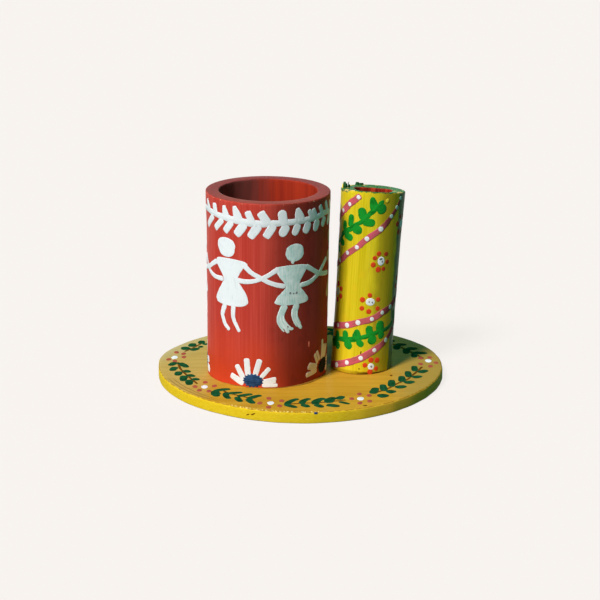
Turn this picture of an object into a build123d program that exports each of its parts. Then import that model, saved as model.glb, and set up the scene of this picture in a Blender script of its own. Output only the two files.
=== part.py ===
"""Desk pen stand: two sections of bamboo culm glued and pinned upright on a round wooden disc.

Millimetres, +Z up. The origin is the centre of the disc's underside, and -Y is the stand's front.
"""

import os
from math import cos, radians, sin, tan

from build123d import *

# ---- the disc ---------------------------------------------------------------------------------
disc_radius = 75.0
disc_thickness = 6.0
disc_wander = 1.2  # how far the hand-sawn edge strays from a true circle, three times round
disc_high_spot = 37.0  # bearing of one of the three high spots, degrees
disc_top_easing = 0.8
disc_foot_easing = 0.5

# ---- the glue under each culm -----------------------------------------------------------------
glue_thickness = 0.3
glue_set_back = 0.4  # the film stops this far inside both faces of a culm's wall

# ---- the large cup ----------------------------------------------------------------------------
large_cup_x = -17.8
large_cup_y = -7.9
large_cup_height = 97.2
large_cup_foot_radius = 31.35
large_cup_shoulder_radius = 31.8  # where the swelling of the culm's joint begins
large_cup_rim_radius = 32.6
large_cup_flare_height = 22.0  # how far below the rim it begins
large_cup_wall = 5.9
large_cup_lean = 0.49  # towards +X, degrees

# ---- the small cup ----------------------------------------------------------------------------
cup_gap = 2.75  # clear space between the two culms at their feet
small_cup_bearing = 9.6  # of the small cup as seen from the large one, degrees from +X
small_cup_length = 94.7  # along its own axis
small_cup_foot_radius = 16.07
small_cup_waist_radius = 15.95
small_cup_rim_radius = 16.83
small_cup_wall = 6.2
small_cup_lean_right = 3.52  # towards +X, degrees
small_cup_lean_back = 3.02  # towards +Y, degrees

rim_easing = 0.6  # rounding of both edges of each sawn rim
saw_allowance = 3.0  # each culm is made this much too long, then sawn to its seat

# ---- the panel pins ---------------------------------------------------------------------------
pin_length = 20.0
pin_shank_radius = 0.7
pin_head_radius = 1.2
pin_head_thickness = 0.8
pin_tip_length = 2.0
pin_tip_radius = 0.1
pin_recess = 0.6  # heads are punched this far below the disc's underside
pin_clearance = 0.03  # round the shank and the head
pin_tip_room = 0.5  # left above the tip
large_cup_pin_count = 3
small_cup_pin_count = 2
large_cup_first_pin = 90.0  # bearing, degrees
small_cup_first_pin = 45.0

# ---- what follows from these ------------------------------------------------------------------
seat_height = disc_thickness + glue_thickness
disc_top = Plane.XY.offset(disc_thickness)
seat = Plane.XY.offset(seat_height)

large_cup_bore_radius = large_cup_foot_radius - large_cup_wall
small_cup_bore_radius = small_cup_foot_radius - small_cup_wall

cup_spacing = large_cup_foot_radius + cup_gap + small_cup_foot_radius
small_cup_x = large_cup_x + cup_spacing * cos(radians(small_cup_bearing))
small_cup_y = large_cup_y + cup_spacing * sin(radians(small_cup_bearing))

large_cup_axis = Axis(
    (large_cup_x, large_cup_y, seat_height),
    (tan(radians(large_cup_lean)), 0, 1),
)
small_cup_axis = Axis(
    (small_cup_x, small_cup_y, seat_height),
    (tan(radians(small_cup_lean_right)), tan(radians(small_cup_lean_back)), 1),
)

pin_shoulder = pin_recess + pin_head_thickness
pin_hole_radius = pin_shank_radius + pin_clearance
pin_hole_top = pin_recess + pin_length + pin_tip_room


def half_section_plane(axis):
    """The plane through a culm's axis: local x is the radius, local y runs up the axis."""
    across = Plane(origin=axis.position, z_dir=axis.direction)
    return Plane(origin=axis.position, x_dir=across.x_dir, z_dir=-across.y_dir)


def pin_circle(x, y, outer_radius, wall, count, first_bearing):
    """Pin positions on the middle of a culm's wall, evenly spaced round its foot."""
    pitch_radius = outer_radius - wall / 2
    bearings = [radians(first_bearing + 360 / count * index) for index in range(count)]
    return [(x + pitch_radius * cos(b), y + pitch_radius * sin(b)) for b in bearings]


def pin_rounds(points, radius, height=0.0):
    """A round of the given radius at every pin, drawn level at the given height."""
    with BuildSketch(Plane.XY.offset(height)) as rounds:
        with Locations(*points):
            Circle(radius)
    return rounds.sketch


def drill_pin_holes(points):
    """Pilot holes for the shanks, up through whatever the part in hand has there."""
    extrude(pin_rounds(points, pin_hole_radius), amount=pin_hole_top, mode=Mode.SUBTRACT)


def drive_pins(points):
    """One pin at each point, head down: a flat head, a plain shank and a tapered tip."""
    shank_top = pin_recess + pin_length - pin_tip_length
    extrude(pin_rounds(points, pin_head_radius, pin_recess), amount=pin_head_thickness)
    extrude(pin_rounds(points, pin_shank_radius, pin_shoulder), amount=shank_top - pin_shoulder)
    with Locations(*[(x, y, shank_top) for x, y in points]):
        Cone(
            pin_shank_radius,
            pin_tip_radius,
            pin_tip_length,
            align=(Align.CENTER, Align.CENTER, Align.MIN),
        )


large_cup_pin_points = pin_circle(
    large_cup_x,
    large_cup_y,
    large_cup_foot_radius,
    large_cup_wall,
    large_cup_pin_count,
    large_cup_first_pin,
)
small_cup_pin_points = pin_circle(
    small_cup_x,
    small_cup_y,
    small_cup_foot_radius,
    small_cup_wall,
    small_cup_pin_count,
    small_cup_first_pin,
)
all_pin_points = large_cup_pin_points + small_cup_pin_points

# ---- base_disc: sawn from board, a little out of round, with eased edges and pin holes ----------
outline_steps = 18
outline_angles = [radians(360 / outline_steps * step) for step in range(outline_steps)]


def disc_edge_point(angle):
    radius = disc_radius + disc_wander * cos(3 * (angle - radians(disc_high_spot)))
    return (radius * cos(angle), radius * sin(angle))


with BuildPart() as base_disc:
    with BuildSketch(Plane.XY):
        with BuildLine():
            Spline(*[disc_edge_point(angle) for angle in outline_angles], periodic=True)
        make_face()
    extrude(amount=disc_thickness)
    fillet(base_disc.edges().group_by(Axis.Z)[-1], radius=disc_top_easing)
    fillet(base_disc.edges().group_by(Axis.Z)[0], radius=disc_foot_easing)
    extrude(
        pin_rounds(all_pin_points, pin_head_radius + pin_clearance),
        amount=pin_shoulder,
        mode=Mode.SUBTRACT,
    )
    drill_pin_holes(all_pin_points)

base_disc.part.label = "base_disc"

# ---- large_cup: an open culm, nearly straight, swelling to the joint at its rim ----------------
with BuildPart() as large_cup:
    with BuildSketch(half_section_plane(large_cup_axis)):
        with BuildLine():
            side = Line(
                (large_cup_foot_radius, -saw_allowance),
                (large_cup_shoulder_radius, large_cup_height - large_cup_flare_height),
            )
            flare = Spline(
                side @ 1,
                (large_cup_rim_radius, large_cup_height),
                tangents=(side % 1, (0, 1)),
            )
            Polyline(
                flare @ 1,
                (large_cup_rim_radius, large_cup_height + saw_allowance),
                (large_cup_bore_radius, large_cup_height + saw_allowance),
                (large_cup_bore_radius, -saw_allowance),
                side @ 0,
            )
        make_face()
    revolve(axis=large_cup_axis)
    split(bisect_by=seat, keep=Keep.TOP)
    split(bisect_by=seat.offset(large_cup_height), keep=Keep.BOTTOM)
    fillet(large_cup.edges().group_by(Axis.Z)[-1], radius=rim_easing)
    drill_pin_holes(large_cup_pin_points)

large_cup.part.label = "large_cup"

# ---- small_cup: a thinner culm with a slight waist, leaning, its foot sawn to the disc ----------
with BuildPart() as small_cup:
    with BuildSketch(half_section_plane(small_cup_axis)):
        with BuildLine():
            skin = Spline(
                (small_cup_foot_radius, 0),
                (small_cup_waist_radius, small_cup_length / 2),
                (small_cup_rim_radius, small_cup_length),
            )
            Polyline(
                skin @ 1,
                (small_cup_bore_radius, small_cup_length),
                (small_cup_bore_radius, -saw_allowance),
                (small_cup_foot_radius, -saw_allowance),
                skin @ 0,
            )
        make_face()
    revolve(axis=small_cup_axis)
    split(bisect_by=seat, keep=Keep.TOP)
    fillet(small_cup.edges().group_by(small_cup_axis)[-1], radius=rim_easing)
    drill_pin_holes(small_cup_pin_points)

small_cup.part.label = "small_cup"

# ---- the two glue films, each pierced by its pins ----------------------------------------------
with BuildPart() as large_cup_glue:
    with BuildSketch(disc_top):
        with Locations((large_cup_x, large_cup_y)):
            Circle(large_cup_foot_radius - glue_set_back)
            Circle(large_cup_bore_radius + glue_set_back, mode=Mode.SUBTRACT)
    extrude(amount=glue_thickness)
    drill_pin_holes(large_cup_pin_points)

large_cup_glue.part.label = "large_cup_glue"

with BuildPart() as small_cup_glue:
    with BuildSketch(disc_top):
        with Locations((small_cup_x, small_cup_y)):
            Circle(small_cup_foot_radius - glue_set_back)
            Circle(small_cup_bore_radius + glue_set_back, mode=Mode.SUBTRACT)
    extrude(amount=glue_thickness)
    drill_pin_holes(small_cup_pin_points)

small_cup_glue.part.label = "small_cup_glue"

# ---- the panel pins, driven up through the disc into the walls ----------------------------------
with BuildPart() as large_cup_pins:
    drive_pins(large_cup_pin_points)

large_cup_pins.part.label = "large_cup_pins"

with BuildPart() as small_cup_pins:
    drive_pins(small_cup_pin_points)

small_cup_pins.part.label = "small_cup_pins"

# ---- one STEP file for each sub-part -------------------------------------------------------------
os.makedirs("parts", exist_ok=True)
export_step(base_disc.part, "parts/base_disc.step")
export_step(large_cup.part, "parts/large_cup.step")
export_step(small_cup.part, "parts/small_cup.step")
export_step(large_cup_glue.part, "parts/large_cup_glue.step")
export_step(small_cup_glue.part, "parts/small_cup_glue.step")
export_step(large_cup_pins.part, "parts/large_cup_pins.step")
export_step(small_cup_pins.part, "parts/small_cup_pins.step")
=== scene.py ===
"""Dresses the pen stand: enamel and varnish on its disc and its two culms, and the motifs painted on them.

Shapes are worked out in millimetres and scaled to metres as each piece is finished.
"""

import math

import bmesh
import bpy
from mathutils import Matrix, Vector, noise


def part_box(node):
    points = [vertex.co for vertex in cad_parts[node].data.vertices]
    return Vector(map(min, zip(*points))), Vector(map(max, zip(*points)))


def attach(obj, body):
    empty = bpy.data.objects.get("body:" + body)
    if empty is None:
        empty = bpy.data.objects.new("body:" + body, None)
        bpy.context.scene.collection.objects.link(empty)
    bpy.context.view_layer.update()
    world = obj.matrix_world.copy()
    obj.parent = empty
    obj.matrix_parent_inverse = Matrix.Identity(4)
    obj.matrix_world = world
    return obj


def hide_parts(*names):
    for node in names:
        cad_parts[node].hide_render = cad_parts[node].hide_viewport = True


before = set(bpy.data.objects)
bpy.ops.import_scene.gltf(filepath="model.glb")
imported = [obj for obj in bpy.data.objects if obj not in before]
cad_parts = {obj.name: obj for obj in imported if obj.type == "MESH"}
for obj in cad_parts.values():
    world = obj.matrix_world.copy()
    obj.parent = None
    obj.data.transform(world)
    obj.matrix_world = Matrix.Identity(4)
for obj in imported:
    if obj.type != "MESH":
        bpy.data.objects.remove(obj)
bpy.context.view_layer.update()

MM = 0.001


def node_box(node):
    """A CAD node's lowest and highest corners, in millimetres."""
    low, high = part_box(node)
    return low / MM, high / MM


# ---- sizes, in millimetres, from the frame and from a few of the stand's own ---------

DISC_TOP = node_box("base_disc")[1].z
DISC_RADIUS = 75.0
DISC_WANDER = 1.2  # three high spots round the sawn edge
DISC_HIGH_SPOT = math.radians(37.0)
DISC_TOP_EASING = 0.9
DISC_FOOT_EASING = 0.5
# where the saw strayed outwards: bearing and spread in degrees, and how far
EDGE_SWELLS = [(164, 12, 1.3), (105, 42, 1.4), (214, 22, 0.6), (304, 18, 0.6), (25, 14, 0.6)]

large_low, large_high = node_box("large_cup")
SEAT = large_low.z  # the culms stand on a film of glue
LARGE_HEIGHT = large_high.z - DISC_TOP
LARGE_DRYING = 0.3  # how much smaller than its solid the culm is
LARGE_OFFSET = 0.3  # how far left of its solid it stands
LARGE_RIM_RADIUS = (large_high.y - large_low.y) / 2 - LARGE_DRYING
LARGE_SHOULDER_RADIUS = LARGE_RIM_RADIUS - 0.5
LARGE_FOOT_RADIUS = LARGE_RIM_RADIUS - 0.95
LARGE_WALL = 5.9  # at the foot
LARGE_BORE_RADIUS = LARGE_FOOT_RADIUS - LARGE_WALL
LARGE_FLARE = 22.0  # the swelling under the rim
LARGE_LEAN = 0.83  # how far right the rim stands of the foot
LARGE_ARC_RADIUS = 32.0  # motifs are set out on a cylinder of this size
# where its foot is flatter than a true round: bearing from the front and spread in degrees, and how far
LARGE_FLATS = [(-15, 90, 0.8), (52, 42, 1.5)]
FLAT_HEIGHT = 18.0  # above this the culm is round

small_low, small_high = node_box("small_cup")
SMALL_LENGTH = 95.0
SMALL_FOOT_RADIUS = 16.07
SMALL_WAIST_RADIUS = 15.95
SMALL_RIM_RADIUS = 16.83
SMALL_WALL = 6.2  # at the foot
SMALL_BORE_RADIUS = SMALL_FOOT_RADIUS - SMALL_WALL
SMALL_ARC_RADIUS = 16.3

RIM_EASING = 0.6
SAW_ALLOWANCE = 3.0  # how much of the small culm's foot is sawn off
SKIRT = 0.35  # the large cup's enamel runs down over the glue line, this thick
SKIRT_GAP = 0.02  # and stops this far over the disc
SAW_FADE = 3.5  # how far down a cup the unevenness of its saw cut is felt
WAVER = 0.14  # how far a culm's wall strays of itself
BORE_RIBS = 0.35  # how far the ribs down a bore stand in and out


# ---- shader nodes --------------------------------------------------------------------


class Wire:
    """A node's output. Arithmetic on it adds Math nodes."""

    def __init__(self, nodes, socket):
        self.nodes = nodes
        self.socket = socket

    def math(self, operation, *values):
        return self.nodes.node("ShaderNodeMath", {"operation": operation}, dict(enumerate(values)))

    def __add__(self, other):
        return self.math("ADD", self, other)

    def __sub__(self, other):
        return self.math("SUBTRACT", self, other)

    def __rsub__(self, other):
        return self.math("SUBTRACT", other, self)

    def __mul__(self, other):
        return self.math("MULTIPLY", self, other)

    __radd__ = __add__
    __rmul__ = __mul__

    def ease(self, low, high):
        """0 below low, 1 above high, and smooth between; falling where low is above high."""
        sockets = {"Value": self, "From Min": low, "From Max": high}
        return self.nodes.node("ShaderNodeMapRange", {"interpolation_type": "SMOOTHSTEP"}, sockets)


class Nodes:
    """A node tree, with one way of adding nodes to it."""

    def __init__(self, tree):
        self.tree = tree
        tree.nodes.clear()

    def node(self, kind, settings, sockets, output=0):
        """Adds a node: its settings first, then its sockets' values or links."""
        made = self.tree.nodes.new(kind)
        for name, value in settings.items():
            setattr(made, name, value)
        for name, value in sockets.items():
            if isinstance(value, Wire):
                self.tree.links.new(value.socket, made.inputs[name])
            else:
                made.inputs[name].default_value = value
        return Wire(self, made.outputs[output]) if made.outputs else None

    def outputs(self, wire, names):
        """Several outputs of the node that a wire comes from."""
        return [Wire(self, wire.socket.node.outputs[name]) for name in names]

    def mix(self, share, first, second):
        """A colour between two, by a share from 0 to 1."""
        return self.node("ShaderNodeMix", {"data_type": "RGBA"}, {0: share, 6: first, 7: second}, 2)

    def stretch(self, vector, scale, turn=(0.0, 0.0, 0.0)):
        """A vector scaled along its own axes."""
        return self.node("ShaderNodeMapping", {}, {"Vector": vector, "Rotation": turn, "Scale": scale})

    def cloud(self, vector, scale, detail=2.0, roughness=0.5, turn=0.0):
        """Smooth noise round 0.5, by one scale or by one for each axis, turned about the upright."""
        if isinstance(scale, tuple):
            vector = self.stretch(vector, scale, (0.0, 0.0, turn))
            scale = 1.0
        sockets = {"Vector": vector, "Scale": scale, "Detail": detail, "Roughness": roughness}
        return self.node("ShaderNodeTexNoise", {}, sockets)

    def split(self, vector):
        """The three numbers of a vector."""
        return self.outputs(self.node("ShaderNodeSeparateXYZ", {}, {"Vector": vector}), "XYZ")

    def radius(self, vector):
        """How far a place is from the upright axis."""
        level = self.stretch(vector, (1, 1, 0))
        return self.node("ShaderNodeVectorMath", {"operation": "LENGTH"}, {0: level}, "Value")


def paint(red, green, blue):
    """A paint colour named as on a colour card, 0 to 255, as the linear colour a shader takes."""

    def linear(value):
        share = value / 255
        return share / 12.92 if share <= 0.04045 else ((share + 0.055) / 1.055) ** 2.4

    return (linear(red), linear(green), linear(blue), 1.0)


class Finish(Nodes):
    """A material: one Principled shader and what varies over it. Its slot is stored but not used."""

    def __init__(self, name, slot=None, roughness=0.4, coat=0.0, coat_roughness=0.15, specular=0.5):
        self.slot = slot
        self.material = bpy.data.materials.new(name)
        self.material.use_nodes = True
        super().__init__(self.material.node_tree)
        shader = self.node("ShaderNodeBsdfPrincipled", {}, {})
        self.inputs = shader.socket.node.inputs
        self.node("ShaderNodeOutputMaterial", {}, {"Surface": shader})
        self.inputs["Roughness"].default_value = roughness
        self.inputs["Specular IOR Level"].default_value = specular
        self.inputs["Coat Weight"].default_value = coat
        self.inputs["Coat Roughness"].default_value = coat_roughness

    def feed(self, name, value):
        """Links a varying value to one of the shader's sockets."""
        self.tree.links.new(value.socket, self.inputs[name])

    def relief(self, height, depth, strength):
        """Bumps the surface by a height from 0 to 1, times a depth in millimetres."""
        sockets = {"Height": height, "Distance": depth * MM, "Strength": strength}
        self.feed("Normal", self.node("ShaderNodeBump", {}, sockets))

    def place(self):
        """Where a point is on the object, in millimetres."""
        here = self.node("ShaderNodeTexCoord", {}, {}, "Object")
        return self.stretch(here, (1 / MM, 1 / MM, 1 / MM))

    def own(self):
        """Where a point is in its culm's own upright frame, in millimetres."""
        return self.node("ShaderNodeAttribute", {"attribute_name": "own"}, {}, "Vector")

    def along_stroke(self):
        """Along and across the brush stroke that a point is on, in millimetres."""
        return self.node("ShaderNodeTexCoord", {}, {}, "UV")


# ---- finishes ------------------------------------------------------------------------


def red_enamel():
    """The large cup: vermilion brushed up and down the culm, dusty maroon on its sawn rim."""
    finish = Finish("red_enamel", "red_paint", coat=0.05, coat_roughness=0.3, specular=0.02)
    own = finish.own()
    across, back, height = finish.split(own)
    radius = finish.radius(own)
    hairs = finish.cloud(own, (1.1, 1.1, 0.012), 3)
    bands = finish.cloud(own, (0.16, 0.16, 0.008), 2)
    patches = finish.cloud(own, 0.05, 3)
    ribs = finish.cloud(own, (0.35, 0.35, 0.01), 3)
    speck = finish.cloud(own, 0.9, 3)

    # the wall
    tint = (hairs * 0.5 + bands * 0.5).ease(0.36, 0.64)
    red = finish.mix(tint, paint(194, 60, 48), paint(212, 79, 66))
    orange = (height + patches * 30).ease(54, 18)
    red = finish.mix(orange * 0.8, red, paint(212, 68, 32))
    # painted shade: the wall darkens towards its right, easing off a little near the far edge
    right_side_shade = (across + patches * 6).ease(-2, 17) * 0.7 - across.ease(20, 27) * 0.22
    red = finish.mix(right_side_shade, red, paint(108, 41, 31))
    scuffs = finish.cloud(own, (0.22, 0.22, 0.1), 4, 0.65).ease(0.52, 0.66)
    red = finish.mix(scuffs * across.ease(-6, 12) * 0.3, red, paint(96, 36, 24))

    # the bore
    inside = radius.ease(LARGE_BORE_RADIUS + 0.6, LARGE_BORE_RADIUS + 0.2)
    inner = finish.mix(ribs.ease(0.3, 0.75), paint(158, 46, 30), paint(180, 56, 32))
    # painted shade: the bore turns duller and darker towards its left
    bore_left_shade = (across + ribs * 12).ease(13, -9)
    inner = finish.mix(bore_left_shade, inner, paint(124, 64, 58))
    red = finish.mix(inside, red, inner)

    # the sawn rim, with chips at its outer corner
    rim = (height + (speck - 0.5) * 0.6).ease(LARGE_HEIGHT - 0.3, LARGE_HEIGHT - 0.05)
    front = (back + speck * 14).ease(10, -22)
    maroon = finish.mix(front, paint(147, 58, 58), paint(162, 68, 58))
    maroon = finish.mix(speck.ease(0.45, 0.7) * 0.5, maroon, paint(112, 47, 50))
    lip = radius.ease(LARGE_BORE_RADIUS + 1.1, LARGE_BORE_RADIUS + 0.5)
    maroon = finish.mix(lip * front * 0.5, maroon, paint(202, 120, 108))
    red = finish.mix(rim, red, maroon)
    outer_corner = radius.ease(LARGE_RIM_RADIUS - 1.0, LARGE_RIM_RADIUS - 0.3)
    outer_corner = outer_corner * height.ease(LARGE_HEIGHT - 1.2, LARGE_HEIGHT - 0.6)
    chips = finish.cloud(own, 0.75, 2).ease(0.66, 0.70) * outer_corner
    red = finish.mix(chips, red, paint(226, 178, 138))
    finish.feed("Base Color", red)
    finish.feed("Roughness", 0.36 + rim * 0.25 + bands * 0.12)
    finish.relief(hairs * 0.7 + ribs * inside + speck * rim, 0.12, 0.5)
    return finish


def yellow_enamel():
    """The small cup: lemon yellow brushed lengthwise, green on the sawn rim, red inside."""
    finish = Finish("yellow_enamel", "yellow_paint", coat=0.04, coat_roughness=0.25, specular=0.02)
    own = finish.own()
    across, _, height = finish.split(own)
    hairs = finish.cloud(own, (1.6, 1.6, 0.02), 3)
    bands = finish.cloud(own, (0.3, 0.3, 0.012), 2)
    smears = finish.cloud(own, (0.25, 0.25, 0.12), 3)
    ragged = finish.cloud(own, 0.42, 3)
    dashes = finish.cloud(own, 0.9, 3)

    # the wall
    tint = (hairs * 0.55 + bands * 0.45).ease(0.36, 0.64)
    yellow = finish.mix(tint, paint(216, 190, 22), paint(240, 214, 44))
    yellow = finish.mix(smears.ease(0.52, 0.72) * 0.5, yellow, paint(242, 198, 34))
    # painted shade: the wall darkens to olive towards its right, less so near the far edge
    right_side_shade = (across + smears * 3).ease(2, 9) * 0.5 - across.ease(11.8, 13) * 0.3
    yellow = finish.mix(right_side_shade, yellow, paint(118, 94, 28))
    scratches = (hairs * 0.7 + smears * 0.3).ease(0.5, 0.62) * across.ease(-10, 8)
    yellow = finish.mix(scratches * 0.38, yellow, paint(128, 100, 20))
    # painted shade: a dark green strip down the right edge, where the lamp's light ends
    right_edge_shade = (across + smears * 2).ease(14.0, 14.9)
    yellow = finish.mix(right_edge_shade * 0.88, yellow, paint(40, 104, 80))

    # the sawn rim
    rim_line = SMALL_LENGTH - across.ease(-11, -14) * 0.8
    rim = (height + (ragged - 0.5) * 1.8).ease(rim_line - 0.6, rim_line - 0.2)
    bare = finish.cloud(own, 0.2, 3).ease(0.56, 0.62)
    green = finish.mix(dashes.ease(0.4, 0.58), paint(12, 78, 38), paint(84, 138, 66))
    green = finish.mix(dashes.ease(0.56, 0.6), green, paint(6, 98, 70))
    green = finish.mix(bare, green, paint(230, 196, 110))
    yellow = finish.mix(rim, yellow, green)

    # the bore and the foot
    inside = finish.radius(own).ease(SMALL_BORE_RADIUS + 0.7, SMALL_BORE_RADIUS + 0.3)
    inner = finish.mix(bands.ease(0.4, 0.6), paint(120, 28, 22), paint(180, 60, 36))
    yellow = finish.mix(inside, yellow, inner)
    foot = (height + ragged * 1.5).ease(2.2, 0.9)
    yellow = finish.mix(foot * 0.55, yellow, paint(150, 104, 14))
    # a dark line at the foot: the glue line, with painted contact shadow, only on the right
    glue_line_shadow = (height + ragged).ease(1.5, 0.9) * across.ease(-8, 6)
    yellow = finish.mix(glue_line_shadow * 0.8, yellow, paint(74, 44, 20))
    finish.feed("Base Color", yellow)
    finish.feed("Roughness", 0.3 + rim * 0.2 + hairs * 0.1)
    finish.relief(hairs * 0.6 + ragged * rim, 0.14, 0.5)
    return finish


def disc_enamel():
    """The disc: ochre enamel under varnish on top, lemon yellow round the side, thin paint beneath."""
    finish = Finish("disc_enamel", "disc_paint", coat=0.06, coat_roughness=0.25, specular=0.0)
    here = finish.place()
    x, y, z = finish.split(here)
    swirl = finish.cloud(here, (0.02, 0.22, 0.2), 4, 0.6, turn=0.2)
    grain = finish.cloud(here, (0.05, 1.3, 1.0), 3, turn=0.1)
    patches = finish.cloud(here, 0.035, 3)
    fine = finish.cloud(here, 0.5, 4)
    around = finish.cloud(here, (0.5, 0.5, 3.0), 3)

    # the top
    tint = (swirl * 0.6 + grain * 0.25 + patches * 0.3).ease(0.42, 0.72)
    ochre = finish.mix(tint, paint(196, 142, 38), paint(212, 160, 50))
    # painted sheen: the top turns paler and greyer towards the left, palest at the far left
    left_sheen = (x - y * 0.4 + patches * 20).ease(-12, -44)
    ochre = finish.mix(left_sheen, ochre, finish.mix(tint, paint(188, 153, 74), paint(203, 166, 86)))
    pale = (x - y * 0.6 + patches * 20).ease(-56, -84)
    ochre = finish.mix(pale * 0.9, ochre, paint(204, 182, 128))
    # painted shade: the top darkens towards the right, in the small cup's half-shadow
    painted_shade = (x + patches * 16).ease(50, 70)
    ochre = finish.mix(painted_shade * 0.8, ochre, paint(170, 138, 58))
    # painted shade on the top between the cups, darkest close to them
    shade_between_cups = x.ease(9, 12) * x.ease(22, 19) * y.ease(0, 6) * y.ease(52, 30)
    ochre = finish.mix(shade_between_cups * 0.7, ochre, paint(44, 66, 34))
    ochre = finish.mix(shade_between_cups * y.ease(26, 12) * 0.6, ochre, paint(24, 18, 10))

    # near its edge: painted highlights on the brush ridges in front, and two scored lines to the left
    bearing = x.math("ARCTAN2", y, x)
    drift = DISC_WANDER * x.math("COSINE", (bearing - DISC_HIGH_SPOT) * 3)
    inset = DISC_RADIUS + drift - finish.radius(here) + (fine - 0.5) * 0.8
    # pale strokes: painted highlights along the brush ridges at the front edge
    ridge_highlights = finish.cloud(here, (1.6, 0.15, 0.15), 2).ease(0.5, 0.58)
    ridge_highlights = ridge_highlights * inset.ease(1.5, 0.9) * x.ease(14, 8) * x.ease(-42, -34) * y.ease(-40, -50)
    ochre = finish.mix(ridge_highlights, ochre, paint(242, 216, 124))
    scored = inset.ease(1.0, 1.3) * inset.ease(2.2, 1.8) + inset.ease(3.3, 3.6) * inset.ease(4.4, 4.0)
    scored = scored * x.ease(-40, -48) * y.ease(-18, -28)
    ochre = finish.mix(scored * 0.7, ochre, paint(146, 104, 44))

    # the side, a darker brown line round its upper corner, and the underside
    lip = z + (fine - 0.5) * 0.5
    side = lip.ease(DISC_TOP - 0.1, DISC_TOP - 0.5)
    lemon = finish.mix(around.ease(0.35, 0.65), paint(236, 190, 28), paint(246, 206, 44))
    # towards the right the side turns orange: a painted tint for its shaded side
    lemon = finish.mix(x.ease(14, 50) * 0.75, lemon, paint(255, 184, 64))
    colour = finish.mix(side, ochre, lemon)
    line = lip.ease(DISC_TOP - 0.02, DISC_TOP - 0.12) * lip.ease(DISC_TOP - 0.5, DISC_TOP - 0.3)
    colour = finish.mix(line * fine.ease(0.4, 0.55) * 0.7, colour, paint(150, 100, 26))
    beneath = z.ease(0.35, 0.1)
    bare = finish.mix(grain.ease(0.4, 0.6), paint(190, 150, 96), paint(214, 178, 116))
    under = finish.mix((swirl + patches).ease(0.95, 1.1), paint(214, 170, 40), bare)
    colour = finish.mix(beneath, colour, under)
    finish.feed("Base Color", colour)
    finish.feed("Roughness", 0.3 + swirl * 0.2 + beneath * 0.25)
    finish.relief(swirl * 0.5 + grain * 0.4 + around * side * 0.3, 0.1, 0.4)
    return finish


def brushed_paint(name, slot, thin, full, thin_share=0.5, coat=0.1, painted_shade=None):
    """A motif's enamel: full where the brush left plenty, thin along its hair marks.

    Its last argument is painted shade: the darker colour it is given on the far side of the small cup.
    """
    finish = Finish(name, slot, roughness=0.35, coat=coat, coat_roughness=0.3, specular=0.0)
    here = finish.place()
    hairs = finish.cloud(finish.along_stroke(), (0.12, 2.6, 1), 3)
    pools = finish.cloud(here, 0.3, 3)
    share = (hairs * 0.6 + pools * 0.4).ease(0.36, 0.36 + 0.3 * thin_share)
    colour = finish.mix(share, thin, full)
    # painted shade on the small cup's far side
    if painted_shade:
        across = finish.split(here)[0]
        colour = finish.mix(across.ease(40, 45) * 0.85, colour, painted_shade)
    finish.feed("Base Color", colour)
    finish.relief(hairs, 0.1, 0.6)
    return finish


def dried_glue():
    """Amber wood glue, slightly cloudy."""
    finish = Finish("dried_glue", roughness=0.5)
    cloudy = finish.cloud(finish.place(), 0.4, 3).ease(0.35, 0.65)
    finish.feed("Base Color", finish.mix(cloudy, paint(140, 96, 26), paint(176, 126, 40)))
    return finish


def pin_steel():
    """Bright wire with drawing marks."""
    finish = Finish("pin_steel")
    finish.inputs["Metallic"].default_value = 1.0
    marks = finish.cloud(finish.place(), (6, 6, 0.4), 2)
    finish.feed("Base Color", finish.mix(marks, paint(150, 150, 154), paint(196, 196, 200)))
    finish.feed("Roughness", 0.25 + marks * 0.3)
    return finish


def white_paint(name, thin, full, thin_share, painted_shade=None):
    """A white motif's paint; every white motif carries the same slot name."""
    return brushed_paint(name, "white_motif", thin, full, thin_share, painted_shade=painted_shade)


RED = red_enamel()
YELLOW = yellow_enamel()
OCHRE = disc_enamel()
WHITE = white_paint("white_enamel", paint(230, 232, 234), paint(246, 245, 247), 0.4)
# its last colour is painted shade for the dots on the small cup's far side
DOT_WHITE = white_paint("dot_white", paint(230, 232, 234), paint(246, 245, 247), 0.4, paint(170, 206, 192))
# a streakier white whose thin streaks are teal-grey: painted shade, for the dancer on the cup's shaded side
THIN_SHADED_WHITE = white_paint("thin_shaded_white_enamel", paint(196, 224, 218), paint(246, 250, 248), 0.9)
# a dimmer, beige copy of the white: painted shade for the dancer at the cup's shaded edge
SHADED_WHITE = white_paint("shaded_white_enamel", paint(190, 164, 118), paint(214, 196, 152), 0.9)
CREAM = white_paint("cream_enamel", paint(230, 208, 190), paint(246, 222, 206), 0.4)
NAVY = brushed_paint("navy_enamel", "navy_motif", paint(20, 40, 70), paint(52, 86, 128), 0.8)
# a near-black copy of the navy: painted shade for the heart of the daisy on the cup's shaded side
SHADED_NAVY = brushed_paint(
    "shaded_navy_enamel", "navy_motif", paint(34, 32, 28), paint(52, 50, 46), 0.8, coat=0.0
)
GREY = brushed_paint("grey_enamel", "navy_motif", paint(96, 96, 100), paint(138, 134, 134))
LEMON = brushed_paint("lemon_enamel", "yellow_paint", paint(232, 200, 30), paint(252, 228, 76))
PALE_RED = brushed_paint("pale_red_enamel", "red_paint", paint(206, 84, 66), paint(232, 120, 96))
VINE_GREEN = brushed_paint(
    "vine_green", "green_motif", paint(14, 104, 26), paint(30, 152, 46), painted_shade=paint(12, 92, 44)
)
SPRAY_GREEN = brushed_paint(
    "spray_green", "green_motif", paint(16, 56, 28), paint(34, 94, 58), 0.8, coat=0.0
)
DARK_GREEN = brushed_paint("splinter_green", "green_motif", paint(10, 26, 12), paint(34, 84, 44))
STEM_BROWN = brushed_paint("stem_brown", "orange_motif", paint(84, 50, 10), paint(124, 74, 20), coat=0.0)
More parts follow.
